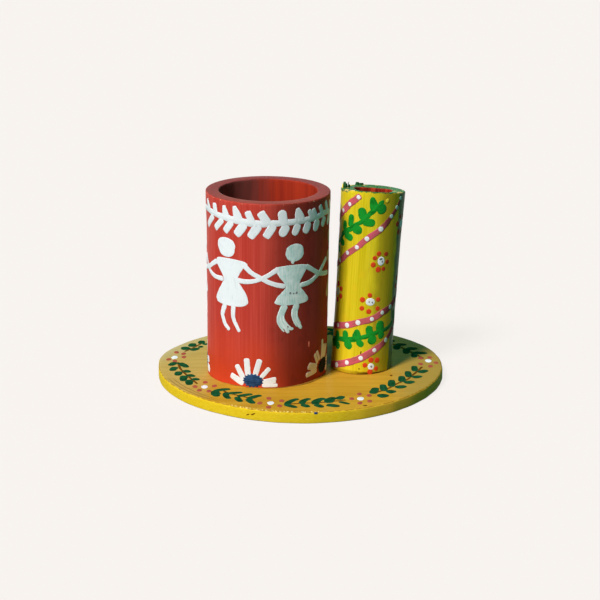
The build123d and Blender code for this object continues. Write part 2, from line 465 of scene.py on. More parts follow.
DOT_ORANGE = brushed_paint(
    "dot_orange", "orange_motif", paint(196, 50, 16), paint(230, 74, 34), painted_shade=paint(156, 56, 28)
)
RIBBON_PINK = brushed_paint(
    "ribbon_pink", "pink_motif", paint(180, 96, 86), paint(224, 92, 116), 0.9, painted_shade=paint(104, 46, 44)
)
BLOSSOM_PINK = brushed_paint(
    "blossom_pink", "pink_motif", paint(178, 100, 64), paint(180, 72, 72), 0.9, coat=0.0
)
GLUE = dried_glue()
STEEL = pin_steel()


# ---- pieces --------------------------------------------------------------------------


def finish_piece(name, bm, finish, replaces=()):
    """Makes an object of a mesh built in millimetres, and sets it riding on the stand."""
    bmesh.ops.recalc_face_normals(bm, faces=bm.faces[:])
    bmesh.ops.scale(bm, vec=(MM, MM, MM), verts=bm.verts[:])
    mesh = bpy.data.meshes.new(name)
    bm.to_mesh(mesh)
    bm.free()
    mesh.materials.append(finish.material)
    mesh.shade_smooth()
    piece = bpy.data.objects.new(name, mesh)
    bpy.context.scene.collection.objects.link(piece)
    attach(piece, "root")
    if replaces:
        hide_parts(*replaces)


def spin_section(bm, places, steps, closed=False):
    """Spins a half section, given as places in an upright plane, round the upright axis."""
    verts = [bm.verts.new(place) for place in places]
    edges = [bm.edges.new(pair) for pair in zip(verts, verts[1:])]
    if closed:
        edges.append(bm.edges.new((verts[-1], verts[0])))
    bmesh.ops.spin(
        bm,
        geom=verts + edges,
        cent=(0, 0, 0),
        axis=(0, 0, 1),
        angle=math.tau,
        steps=steps,
        use_merge=True,
    )


# ---- the culms -----------------------------------------------------------------------


def smooth(share):
    """0 to 1 with level ends."""
    share = min(max(share, 0.0), 1.0)
    return share * share * (3 - 2 * share)


class Culm:
    """A culm and the skin that motifs are painted on: arc and height, in millimetres, from its front."""

    def __init__(self, foot, rise, right, front, arc_radius, radius_at, flats=()):
        self.foot = foot  # the axis where it meets the disc's top
        self.rise = rise  # along the axis for each millimetre of height
        self.right = right
        self.front = front
        self.arc_radius = arc_radius
        self.radius_at = radius_at
        self.flats = flats

    def flattened(self, angle, height):
        """How far inside a true round the wall stands near its foot."""
        bearing = math.degrees(math.remainder(angle, math.tau))
        depth = 0
        for middle, spread, deep in self.flats:
            depth += deep * smooth(1 - abs(bearing - middle) / spread)
        return depth * smooth(1 - height / FLAT_HEIGHT)

    def point(self, angle, height, radius):
        outward = self.right * math.sin(angle) + self.front * math.cos(angle)
        around = Vector((math.sin(angle), math.cos(angle), height / 38))
        radius += WAVER * noise.noise(around * 1.7) - self.flattened(angle, height)
        return self.foot + self.rise * height + outward * radius

    def skin(self, arc, height, lift):
        return self.point(arc / self.arc_radius, height, self.radius_at(height) + lift)


def large_radius(height):
    shoulder = LARGE_HEIGHT - LARGE_FLARE
    if height < shoulder:
        return LARGE_FOOT_RADIUS + (LARGE_SHOULDER_RADIUS - LARGE_FOOT_RADIUS) * height / shoulder
    swell = smooth((height - shoulder) / LARGE_FLARE)
    return LARGE_SHOULDER_RADIUS + (LARGE_RIM_RADIUS - LARGE_SHOULDER_RADIUS) * swell


def small_radius(height):
    share = height / SMALL_LENGTH
    straight = SMALL_FOOT_RADIUS + (SMALL_RIM_RADIUS - SMALL_FOOT_RADIUS) * share
    waist = (SMALL_FOOT_RADIUS + SMALL_RIM_RADIUS) / 2 - SMALL_WAIST_RADIUS
    return straight - waist * 4 * share * (1 - share)


def make_large_culm():
    rim_x = (large_low.x + large_high.x) / 2 - LARGE_OFFSET
    foot = Vector((rim_x - LARGE_LEAN, (large_low.y + large_high.y) / 2, DISC_TOP))
    rise = Vector((LARGE_LEAN / LARGE_HEIGHT, 0, 1))
    right, front = Vector((1, 0, 0)), Vector((0, -1, 0))
    return Culm(foot, rise, right, front, LARGE_ARC_RADIUS, large_radius, LARGE_FLATS)


def make_small_culm():
    """It leans from where the solid's foot stands to where its rim does."""
    foot = Vector((small_low.x + SMALL_FOOT_RADIUS, small_low.y + SMALL_FOOT_RADIUS, DISC_TOP))
    across = small_high.x - SMALL_RIM_RADIUS - foot.x
    back = small_high.y - SMALL_RIM_RADIUS - foot.y
    up = math.sqrt(SMALL_LENGTH**2 - across**2 - back**2)
    rise = Vector((across, back, up)).normalized()
    front = Vector((0, -1, 0))
    front = (front - rise * front.dot(rise)).normalized()
    return Culm(foot, rise, rise.cross(front), front, SMALL_ARC_RADIUS, small_radius)


LARGE = make_large_culm()
SMALL = make_small_culm()


def large_saw_cut(angle, radius):
    """The large cup's cut is square to the leaning culm: higher on its left."""
    return 0.35 - 0.4 * math.sin(angle) * radius / LARGE_RIM_RADIUS


def small_saw_cut(angle, radius):
    """How far the small cup's hurried saw cut stands above a square one."""
    outer = 0.6 + 1.05 * math.cos(angle) + 0.28 * math.cos(2 * angle)
    inner = 0.35 * math.cos(angle) - 0.15 * math.sin(angle) - 0.4 * math.cos(2 * angle) - 0.1
    share = (radius - SMALL_BORE_RADIUS) / (SMALL_RIM_RADIUS - SMALL_BORE_RADIUS)
    return inner + (outer - inner) * share


def culm_shell(culm, bottom, top, bore_radius, steps, levels, saw_cut):
    """A hollow culm: its half section spun round, with eased rims, then set on the culm's axis."""
    bm = bmesh.new()
    heights = [bottom + (top - bottom) * level / levels for level in range(levels + 1)]
    section = [(culm.radius_at(height), height) for height in heights]
    section += [(bore_radius, height) for height in reversed(heights)]
    if bottom > 0:
        foot = culm.radius_at(bottom)
        section += [(foot - SKIRT, bottom), (foot - SKIRT, SKIRT_GAP), (foot, SKIRT_GAP)]
    spin_section(bm, [(0, -radius, height) for radius, height in section], steps, closed=True)
    rims = [
        edge
        for edge in bm.edges
        if all(abs(vert.co.z - top) < 1e-4 for vert in edge.verts)
        and abs(edge.verts[0].co.xy.length - edge.verts[1].co.xy.length) < 1e-3
    ]
    bmesh.ops.bevel(
        bm,
        geom=rims,
        offset=RIM_EASING,
        segments=4,
        profile=0.5,
        affect="EDGES",
        material=-1,
        clamp_overlap=True,
    )
    own = bm.verts.layers.float_vector.new("own")
    for vert in bm.verts:
        vert[own] = vert.co
        angle = math.atan2(vert.co.x, -vert.co.y)
        radius = vert.co.xy.length
        height = vert.co.z
        if radius < bore_radius + 0.1:
            ribs = Vector((math.sin(angle), math.cos(angle), height / 120))
            radius += BORE_RIBS * noise.noise(ribs * 6)
        height += saw_cut(angle, radius) * smooth(1 - (top - height) / SAW_FADE)
        vert.co = culm.point(angle, height, radius)
    return bm


def make_large_cup():
    bm = culm_shell(LARGE, SEAT - DISC_TOP, LARGE_HEIGHT, LARGE_BORE_RADIUS, 192, 64, large_saw_cut)
    finish_piece("large_cup_culm", bm, RED, ["large_cup"])


def make_small_cup():
    """The slim culm is made too long, then sawn level at the glue line."""
    bm = culm_shell(SMALL, -SAW_ALLOWANCE, SMALL_LENGTH, SMALL_BORE_RADIUS, 144, 84, small_saw_cut)
    everything = bm.verts[:] + bm.edges[:] + bm.faces[:]
    bmesh.ops.bisect_plane(
        bm, geom=everything, plane_co=(0, 0, SEAT), plane_no=(0, 0, 1), clear_inner=True
    )
    sawn = [edge for edge in bm.edges if edge.is_boundary]
    bmesh.ops.bridge_loops(bm, edges=sawn)
    finish_piece("small_cup_culm", bm, YELLOW, ["small_cup"])


# ---- the disc ------------------------------------------------------------------------


def disc_edge_drift(angle):
    """How far the sawn edge stands from a true circle."""
    drift = DISC_WANDER * math.cos(3 * (angle - DISC_HIGH_SPOT))
    for bearing, spread, swell in EDGE_SWELLS:
        away = (math.degrees(angle) - bearing + 180) % 360 - 180
        drift += swell * math.exp(-((away / spread) ** 2))
    drift += 0.28 * math.cos(4 * angle + 0.48)
    return drift + 0.25 * noise.noise(Vector((math.cos(angle), math.sin(angle), 0)) * 9)


def make_disc():
    """Half its section spun round, top first, then drawn out to the wandering edge."""
    bm = bmesh.new()
    quarter = [math.pi / 2 * turn / 5 for turn in range(6)]
    section = [(radius, DISC_TOP) for radius in (0, 12, 24, 36, 48, 58, 66, 70, 72)]
    for angle in quarter:
        out = DISC_RADIUS - DISC_TOP_EASING * (1 - math.sin(angle))
        section.append((out, DISC_TOP - DISC_TOP_EASING * (1 - math.cos(angle))))
    section += [(DISC_RADIUS, DISC_TOP * 0.6), (DISC_RADIUS, DISC_TOP / 3)]
    for angle in quarter:
        out = DISC_RADIUS - DISC_FOOT_EASING * (1 - math.cos(angle))
        section.append((out, DISC_FOOT_EASING * (1 - math.sin(angle))))
    section += [(radius, 0) for radius in (70, 50, 30, 12, 0)]
    spin_section(bm, [(radius, 0, height) for radius, height in section], 240)
    bmesh.ops.remove_doubles(bm, verts=bm.verts[:], dist=1e-4)
    for vert in bm.verts:
        radius = vert.co.xy.length
        if radius > 1:
            angle = math.atan2(vert.co.y, vert.co.x)
            vert.co.xy *= 1 + disc_edge_drift(angle) / DISC_RADIUS * (radius / DISC_RADIUS) ** 2
    finish_piece("disc_board", bm, OCHRE, ["base_disc"])


def disc_skin(x, y, lift):
    """A place on the disc's top, seen from above."""
    return Vector((x, y, DISC_TOP + lift))


def disc_side(arc, height, lift):
    """A place on the disc's sawn edge, round from its front."""
    angle = arc / DISC_RADIUS - math.pi / 2
    radius = DISC_RADIUS + disc_edge_drift(angle) + lift
    return Vector((radius * math.cos(angle), radius * math.sin(angle), height))


# ---- brush work ----------------------------------------------------------------------

BEDDING = 0.25  # how deep a stroke is bedded in its wall
LIFT = 0.06  # how far it stands proud
SOFT_EDGE = 0.5
SHOULDER = 2.2  # how near a stroke's edge its flat top reaches
TEETH = 16  # points round a ragged dab


def flow(points, share):
    """The point at a share of a smooth line through points."""
    spans = [(b - a).xy.length for a, b in zip(points, points[1:])]
    reach = share * sum(spans)
    index = 0
    while index < len(spans) - 1 and reach > spans[index]:
        reach -= spans[index]
        index += 1
    t = reach / max(spans[index], 1e-6)
    p1, p2 = points[index], points[index + 1]
    p0 = points[index - 1] if index else p1 * 2 - p2
    p3 = points[index + 2] if index + 2 < len(points) else p2 * 2 - p1
    return 0.5 * (
        2 * p1
        + (p2 - p0) * t
        + (2 * p0 - 5 * p1 + 4 * p2 - p3) * t**2
        + (3 * p1 - p0 - 3 * p2 + p3) * t**3
    )


def round_off(distance, reach):
    """A quarter circle: 0 at no distance, 1 from reach on."""
    share = min(max(distance / reach, 0.0), 1.0)
    return math.sqrt(1 - (1 - share) ** 2)


def shouldered(share):
    """Moves the places across a stroke out towards its edges."""
    return math.copysign(1 - max(1 - abs(share), 0) ** SHOULDER, share)


def ball(bm, sides, rings):
    """The vertices of a new ball, for drawing out into a touch of paint."""
    return bmesh.ops.create_uvsphere(bm, u_segments=sides, v_segments=rings, radius=1)["verts"]


def lay_flat(bm, flat):
    """A touch's UV map: how far along and across it each of its vertices is."""
    uv = bm.loops.layers.uv.verify()
    for face in {face for vert in flat for face in vert.link_faces}:
        for loop in face.loops:
            loop[uv].uv = flat[loop.vert]


def stroke(bm, skin, path, rings, blunt=(0.5, 0.5), sides=12, lift=LIFT, ragged=0.05, level=False):
    """One loaded brush stroke: a flattened ball drawn out along a path of (x, y, width) places.

    blunt gives how long each end's rounding is, in half widths, and level keeps its rows level, as in a
    broad figure painted from the top down.
    """
    points = [Vector(place) for place in path]
    length = sum((b - a).xy.length for a, b in zip(points, points[1:]))
    seed = points[0].x * 0.37 + points[0].y * 0.73
    flat = {}
    for vert in ball(bm, sides, rings):
        across, up, end = vert.co
        share = min(max((1 - end) / 2, 0.0), 1.0)
        here = flow(points, share)
        ahead = flow(points, min(share + 0.01, 1.0)) - flow(points, max(share - 0.01, 0.0))
        heading = Vector((0, -1)) if level else ahead.xy.normalized()
        ring = math.hypot(across, up)
        across, up = (shouldered(across / ring), up / ring) if ring > 1e-4 else (0, 0)
        start_gap, end_gap = share * length, (1 - share) * length
        half = here.z / 2
        half *= round_off(start_gap + 0.02, max(half * blunt[0], 0.1))
        half *= round_off(end_gap + 0.02, max(half * blunt[1], 0.1))
        half *= 1 + ragged * 2 * noise.noise(Vector((start_gap * 0.6, math.copysign(3, across), seed)))
        depth = lift if up > 0 else BEDDING
        depth *= round_off(min(start_gap, end_gap) + 0.05, SOFT_EDGE)
        side = across * half
        rise = math.copysign(abs(up) ** 0.6, up) * depth
        vert.co = skin(here.x - heading.y * side, here.y + heading.x * side, rise)
        flat[vert] = (start_gap, side)
    lay_flat(bm, flat)


def dab(bm, skin, x, y, wide, high, turn=0.0, sides=12, rings=6, lift=LIFT, above=0.0, jagged=0.0):
    """A round touch of the brush, turned by an angle in degrees and lying above others by a distance."""
    cos, sin = math.cos(math.radians(turn)), math.sin(math.radians(turn))
    flat = {}
    for vert in ball(bm, sides, rings):
        angle = math.atan2(vert.co.y, vert.co.x)
        wobble = 1 + 0.07 * noise.noise(Vector((math.cos(angle) + x, math.sin(angle) + y, 0.5)))
        wobble += jagged * math.sin(TEETH * angle)
        reach = math.hypot(vert.co.x, vert.co.y)
        wobble *= shouldered(reach) / max(reach, 1e-6)
        across, up = vert.co.x * wide / 2 * wobble, vert.co.y * high / 2 * wobble
        level = above + vert.co.z * (lift if vert.co.z > 0 else BEDDING)
        vert.co = skin(x + across * cos - up * sin, y + across * sin + up * cos, level)
        flat[vert] = (across, up)
    lay_flat(bm, flat)


def leaf(bm, skin, root, tip, width, neck, taper, blunt, bend=0.0, rings=9):
    """One pressed touch of a round brush, from the stem outwards.

    neck and taper are the shares of its width left at its root and its tip, blunt is as for a stroke's
    end, and bend bows it leftwards.
    """
    root, tip = Vector(root), Vector(tip)
    along = tip - root
    aside = Vector((-along.y, along.x)) * bend
    path = []
    for share, part in ((0, neck), (0.3, 0.97), (0.7, (1 + taper) / 2), (1, taper)):
        place = root + along * share + aside * 4 * share * (1 - share)
        path.append((*place, width * part))
    stroke(bm, skin, path, rings, (0.6, blunt))


def leaves(bm, skin, places, **shape):
    """Leaves by (root, tip, width) and, where it has one, the leaf's bend."""
    for root, tip, width, *bend in places:
        leaf(bm, skin, root, tip, width, bend=bend[0] if bend else 0.0, **shape)


def dots(bm, skin, places, size, above=0.0):
    """Round touches of nearly one size."""
    for x, y in places:
        wide = size * (1 + 0.12 * math.sin(7 * x + 3 * y))
        dab(bm, skin, x, y, wide, wide, sides=10, rings=5, above=above)


def drifted(skin, shift, seed):
    """The same skin further round, for painting a motif again with a slightly different hand."""

    def moved(arc, height, lift):
        sway = noise.noise_vector(Vector((arc * 0.08, height * 0.08, seed * 5.3)))
        return skin(arc + shift + sway.x * 1.2, height + sway.y * smooth(height / 12), lift)

    return moved if seed else skin


def path_point(path, arc):
    """The height of a path of (arc, height, width) places at an arc."""
    for (arc_a, height_a, _), (arc_b, height_b, _) in zip(path, path[1:]):
        if arc_a <= arc <= arc_b:
            return height_a + (height_b - height_a) * (arc - arc_a) / (arc_b - arc_a)
    return path[-1][1]


# ---- on the large cup: a garland, dancers hand in hand, and half daisies -------------

LARGE_ROUND = math.tau * LARGE_ARC_RADIUS  # once round the cup


def paint_garland():
    """Leaf pairs along a thick wavering stem under the rim: those in front, then 15 more round the back."""
    bm = bmesh.new()
    stem = [
        (-45.4, 90.4, 3.0), (-30.4, 89.5, 3.1), (-20.4, 88.8, 3.5), (-12.3, 88.1, 3.7), (-5.3, 87.5, 3.7),
        (2.6, 87.7, 3.4),
    ]
    stem += [(12, 87.9, 3.3), (22, 88, 3.3), (30, 88.4, 3.1), (37, 88.9, 2.9)]
    stem += [(arc, 88.8 + 0.8 * math.sin(arc / 9), 3.0) for arc in range(49, 150, 12)]
    stem += [(LARGE_ROUND - 44, 90.1, 3.0)]
    stroke(bm, LARGE.skin, stem, 150, sides=8, ragged=0.12)
    squared = [
        ((-37.4, 89.2), (-40.9, 95.5), 4.4, 0.5), ((-30.9, 88.8), (-31.8, 95.2), 4.1, 0.8),
        ((-22.4, 88.2), (-24.1, 95.3), 4.6, 0.4), ((-14.7, 88.2), (-17.5, 95.9), 5.2, 0.35),
        ((-7.3, 87.2), (-10.2, 93.9), 3.9, 0.85), ((0.8, 87.2), (-3.6, 93.8), 4.4, 1.0),
        ((18, 87.4), (15.8, 95), 5.8, 0.3), ((25.5, 88), (22.8, 93), 2.9, 0.8),
        ((28, 88), (25.8, 93.3), 3.3, 0.8), ((34.5, 88), (31.2, 94), 3.2, 0.8),
        ((40, 89), (37.2, 95), 3.4, 0.7),
    ]
    squared += [
        ((-33, 88.2), (-41.4, 81.1), 3.6, 0.9), ((-25, 87.8), (-31.8, 81.6), 3.5, 0.95),
        ((-18.8, 87.6), (-24, 81.3), 3.9, 0.95), ((-11.3, 87.2), (-16.7, 80.5), 4.7, 0.95),
        ((-4, 87), (-9, 79.8), 5.0, 0.75), ((3.6, 87.2), (-0.8, 80.2), 4.6, 0.85),
    ]
    rounded = [
        ((8.8, 86), (7.3, 94.6), 4.7, 0.95), ((10.4, 86.6), (7.1, 80.7), 4.9, 0.85),
        ((16.6, 86.6), (14.1, 80.7), 4.3, 0.85), ((23, 86.8), (20.6, 80.9), 4.8, 0.85),
        ((29.8, 87), (27.3, 81), 4.7, 0.85), ((36.8, 87), (34, 82.1), 4.2, 0.85),
    ]
    for step in range(15):
        arc = 47 + 7.3 * step
        sway = math.sin(arc * 1.7)
        height = path_point(stem, arc)
        upper_tip = (arc - 2.8 + sway, 94.7 + 0.5 * math.cos(arc))
        lower_tip = (arc - 5 + sway, 80.8 + 0.8 * math.sin(arc * 2.3))
        squared.append(((arc, height), upper_tip, 4.6, 0.6 + 0.25 * sway))
        rounded.append(((arc - 2, height - 1), lower_tip, 4.7, 0.85))
    for places, neck, blunt in ((squared, 0.9, 0.35), (rounded, 0.8, 1.0)):
        for root, tip, width, taper in places:
            leaf(bm, LARGE.skin, root, tip, width, neck, taper, blunt)
    finish_piece("cup_garland", bm, WHITE)


# each dancer's head, body and limbs as strokes of (arc, height, width) places, the arms third and fourth
LEFT_DANCER = {
    "head": [
        (-23.3, 78.5, 9.2), (-23.4, 76.7, 11.4), (-23.2, 73.5, 11.7), (-22.8, 70.3, 9.6),
        (-22.5, 68.4, 7),
    ],
    "body": [
        (-20.6, 67.8, 13), (-20.5, 67, 18), (-20.3, 65.6, 20.3), (-21.2, 63.6, 17.6), (-20.8, 60.5, 12.8),
        (-20.4, 57.7, 9.4), (-19.8, 55.3, 10.6), (-19.7, 50.3, 17.6), (-20.3, 46.1, 21.2),
        (-20.4, 44.7, 20.2), (-21, 43.6, 17.5), (-21.3, 42.8, 13),
    ],
    "limbs": [
        [
            (-23.7, 43.3, 3), (-25.2, 39.8, 3), (-25.9, 37.3, 2.8), (-25.2, 35.3, 2.6),
            (-23.7, 32.3, 2.4), (-20.7, 29.8, 2.2),
        ],
        [
            (-18.2, 43.3, 2.8), (-18.5, 39.3, 2.6), (-18.2, 36.3, 2.4), (-16.7, 33.3, 2.2),
            (-14.5, 29.6, 1.8),
        ],
        [
            (-12, 65.2, 2.8), (-8, 61.6, 2.5), (-4, 59.6, 2.4), (0, 57.3, 2.4), (5, 55.4, 2.5),
            (10, 54.4, 2.6),
        ],
        [
            (-16, 57, 2.7), (-10, 56.8, 2.5), (-5, 57.8, 2.3), (-1, 59.6, 2.4), (2.5, 61.6, 2.5),
            (6.3, 64.1, 2.7),
        ],
    ],
}

RIGHT_DANCER = {
    "head": [
        (14.9, 76.3, 5.5), (14.9, 74.7, 8.8), (14.9, 71.5, 10.3), (14.9, 68.6, 8.6), (14.8, 67.1, 5),
    ],
    "body": [
        (13.1, 65.3, 12), (13.1, 64.6, 17), (13.4, 63, 17.6), (13.4, 59.9, 14.4), (13.5, 56.8, 9.6),
        (13.9, 54.8, 8.1), (13.8, 53.2, 8.7), (13.7, 49.8, 15), (13.7, 46.9, 18.8), (13.8, 45.7, 19.2),
        (14.1, 44.8, 16), (14.4, 44.2, 12),
    ],
    "limbs": [
        [
            (9.7, 44.7, 3.9), (8.4, 41.9, 3.7), (7.5, 39.7, 3.8), (7.2, 37.5, 4.1), (8.4, 34.7, 4.3),
            (10.3, 32.3, 4.3),
        ],
        [
            (16.5, 44.7, 3.5), (15.7, 42.5, 3.6), (14.9, 40.2, 3.7), (15.2, 37.7, 3.6), (16.2, 35.2, 3.6),
            (17.9, 32.3, 3.2),
        ],
        [
            (21.3, 63.8, 2.8), (26, 61.1, 2.6), (30, 58.7, 2.5), (34, 57.3, 2.5), (40, 56.2, 2.6),
            (43.6, 55.6, 2.6),
        ],
        [
            (17.8, 54, 2.6), (24, 54.6, 2.5), (28, 56.2, 2.4), (32, 58.2, 2.5), (36, 61.5, 2.6),
            (40.6, 64.4, 2.7),
        ],
        [(14.2, 69, 3), (13.4, 65.9, 1.2)],
        [(11.5, 32.3, 2.0), (12.9, 31.6, 1.7), (14.4, 31.4, 1.2)],
        [(9.7, 33.1, 2.2), (10.9, 30.7, 2.0), (11.9, 29.6, 1.4)],
        [(17.7, 32.7, 2.2), (18.7, 31.6, 1.9), (19.3, 31, 1.3)],
        [(5.7, 38.3, 0.8), (5.8, 35.7, 0.9), (7.2, 32.9, 0.9), (9.3, 30.3, 0.8)],
        [(8.9, 38.7, 0.7), (9.2, 36.5, 0.7), (10.9, 34.1, 0.8), (13.3, 31.9, 0.7)],
        [(7.5, 38.3, 0.6), (7.9, 35.9, 0.6), (9.5, 33.3, 0.7), (11.3, 31.3, 0.6)],
        [(13.7, 40.7, 0.8), (13.8, 37.7, 0.8), (14.7, 35.3, 0.7), (16.5, 32.3, 0.7)],
        [(16.5, 40.7, 0.7), (16.5, 37.7, 0.7), (17.5, 35.1, 0.7), (19.1, 32.1, 0.6)],
    ],
}

LAST_ARMS = [
    [(-46, 65.6, 2.8), (-43, 61.8, 2.6), (-39.5, 58.6, 2.5), (-33, 56.4, 2.4), (-25, 56.3, 2.7)],
    [(-49.5, 57.4, 2.6), (-44, 58.6, 2.5), (-38, 60.6, 2.5), (-34, 62.8, 2.6), (-29.8, 65, 2.8)],
]


def paint_dancer(number, figure, shift=0, seed=0, enamel=WHITE):
    """A round head over an hourglass of bodice and skirt; the arms reach for the next dancer's."""
    bm = bmesh.new()
    skin = drifted(LARGE.skin, shift, seed)
    stroke(bm, skin, figure["head"], 24, sides=20, lift=0.1, ragged=0.03, level=True)
    stroke(bm, skin, figure["body"], 44, (0.1, 0.1), sides=28, lift=0.11, ragged=0.02, level=True)
    for index, limb in enumerate(figure["limbs"]):
        stroke(bm, skin, limb, 18, (0.6, 0.9), lift=0.08 + 0.01 * index)
    finish_piece(f"dancer_{number}", bm, enamel)


def paint_dancers():
    """Six round the cup, each with the arms to its right; the last one's reach back to the first."""
    armless = dict(RIGHT_DANCER)
    armless["limbs"] = RIGHT_DANCER["limbs"][:2] + RIGHT_DANCER["limbs"][4:]
    paint_dancer(1, LEFT_DANCER)
    paint_dancer(2, RIGHT_DANCER, enamel=THIN_SHADED_WHITE)
    paint_dancer(3, LEFT_DANCER, 72, 1, SHADED_WHITE)
    paint_dancer(4, RIGHT_DANCER, 67.2, 2)
    paint_dancer(5, LEFT_DANCER, 135, 3)
    paint_dancer(6, armless, 133.7, 4)
    bm = bmesh.new()
    for index, limb in enumerate(LAST_ARMS):
        stroke(bm, LARGE.skin, limb, 22, (0.6, 0.9), lift=0.085 + 0.01 * index)
    finish_piece("dancer_6_arms", bm, WHITE)


# a daisy's petals by root, tip and width, then its heart's place and size
LEFT_DAISY = [
    ((-12.6, 1.8), (-20.5, 5.7), 3.7), ((-12.4, 4), (-16.6, 11.9), 3.4), ((-10, 6), (-10.6, 16), 3.4),
    ((-6.2, 6.5), (-3.4, 15.9), 3.1), ((-3.2, 5.4), (1.7, 11.2), 2.5), ((-2.2, 3.6), (5.3, 5.3), 2.3),
    ((-2.2, 2.7), (5.2, 3.7), 1.9), ((-2.4, 1.6), (6.1, 1.6), 2.1),
]
LEFT_HEART = (-7.4, 3.9, 11, 7.2)

RIGHT_DAISY = [
    ((32.8, 6.6), (24.8, 9.3), 4.2), ((33.2, 5.1), (23.8, 4.1), 3.0), ((33, 8.8), (29.2, 15), 2.1),
    ((34.8, 10.2), (31, 16.2), 2.0), ((37, 10.2), (37, 21.2), 2.6), ((39.8, 9.8), (39, 18), 3.6),
    ((40.6, 9.8), (43.6, 17.2), 3.1), ((43, 7), (49, 8.6), 3.6), ((43.8, 3.6), (49.5, 3.4), 4.2),
]
RIGHT_HEART = (39.5, 6.5, 10.6, 8.2)


def paint_daisy(number, petals, heart, shift=0, seed=0, petal_enamel=WHITE, heart_enamel=NAVY):
    """Half a daisy standing on the foot line: broad petals round a ragged dark heart."""
    skin = drifted(LARGE.skin, shift, seed)
    bm = bmesh.new()
    leaves(bm, skin, petals, neck=0.85, taper=0.9, blunt=0.45, rings=12)
    finish_piece(f"daisy_{number}_petals", bm, petal_enamel)
    bm = bmesh.new()
    dab(bm, skin, *heart, sides=72, rings=7, lift=0.2, jagged=0.1)
    finish_piece(f"daisy_{number}_heart", bm, heart_enamel)


def paint_daisies():
    paint_daisy(1, LEFT_DAISY, LEFT_HEART)
    paint_daisy(2, RIGHT_DAISY, RIGHT_HEART, petal_enamel=CREAM, heart_enamel=SHADED_NAVY)
    paint_daisy(3, LEFT_DAISY, LEFT_HEART, 83, 5)
    paint_daisy(4, RIGHT_DAISY, RIGHT_HEART, 74, 6)
    paint_daisy(5, RIGHT_DAISY, RIGHT_HEART, -91, 7)


# ---- on the small cup: ribbons and a vine winding up it, and blossoms between --------

# paths of (arc, height, width) places
LOW_RIBBON = [
    (-23, 0.8, 3.0), (-16, 2.2, 3.6), (-8.7, 4.7, 3.8), (-1.3, 8, 3.8), (6, 12.5, 3.8), (13.3, 17.5, 2.7),
    (17, 21, 2.6), (27, 28, 3.6), (40, 36, 3.4), (53, 43.5, 3.6), (66, 50.5, 3.4), (82.4, 57, 3.2),
    (89.4, 62.5, 3.2), (95.4, 67, 3.1), (100.4, 72, 3.2), (107.4, 77.5, 3.2), (112.4, 83.5, 2.3),
    (116.4, 88.5, 1.9), (119.2, 93.2, 1.4),
]

HIGH_RIBBON = [
    (-80, 0.8, 3.0), (-66, 6, 3.4), (-50, 12, 3.6), (-34, 18, 3.4), (-20, 22.5, 3.6), (-10, 24.7, 3.6),
    (-4, 27, 3.4), (3.3, 29.3, 3.6), (9.2, 32.6, 3.6), (15, 35.2, 3.4), (28, 44, 3.6), (41, 54, 3.4),
    (55, 64, 3.6), (69, 74.5, 3.6), (82.4, 83, 3.8), (89, 88.7, 3.8), (95.6, 94.2, 3.2),
]

VINE = [
    (-68, 0.8, 2.0), (-54, 5, 2.2), (-38, 10.5, 2.2), (-19.9, 15.4, 2.6), (-12, 16.8, 2.9),
    (-6.3, 17.5, 3.1), (-1.3, 19.2, 2.5), (3.3, 20.7, 2.8), (8, 22.5, 2.4), (12.7, 23.4, 2.4),
    (18, 26, 2.2), (30, 34, 2.4), (44, 43.5, 2.2), (58, 52.5, 2.4), (72, 61.5, 2.2), (82.4, 69.4, 2.4),
    (85.2, 72.8, 2.6), (91.2, 76.3, 2.8), (93.3, 78.4, 2.2), (96.2, 80, 2.4), (98.4, 82.3, 2.4),
    (101, 85.1, 2.8), (103.2, 87.2, 2.6), (104.8, 89.6, 2.2), (106.4, 90.6, 1.5),
]


def paint_ribbons():
    for name, path, rings in (("low_ribbon", LOW_RIBBON, 110), ("high_ribbon", HIGH_RIBBON, 130)):
        bm = bmesh.new()
        stroke(bm, SMALL.skin, path, rings, (0.4, 0.4), lift=0.13, ragged=0.1)
        finish_piece(name, bm, RIBBON_PINK)
    touches = [(-15.9, 2), (-8.7, 4.7), (-1.2, 8.1), (6, 12.5), (13.2, 17.4), (82.9, 57.8), (89.4, 63)]
    touches += [(95.1, 66.9), (100.2, 71.9), (107.1, 77.4), (112.7, 84), (116.2, 88.4), (118.9, 93)]
    touches += [(arc, path_point(LOW_RIBBON, arc)) for arc in range(21, 80, 7)]
    touches += [(-17.3, 23.2), (-10.2, 24.6), (-4, 26.9), (3.4, 29.3), (9.2, 32.6), (15, 35.1)]
    touches += [(83.9, 84.5), (89.1, 88.7), (94.4, 93.2)]
    touches += [(arc, path_point(HIGH_RIBBON, arc)) for arc in [*range(-73, -20, 7), *range(22, 80, 7)]]
    bm = bmesh.new()
    dots(bm, SMALL.skin, touches, 2.6, above=0.1)
    finish_piece("ribbon_dots", bm, DOT_WHITE)


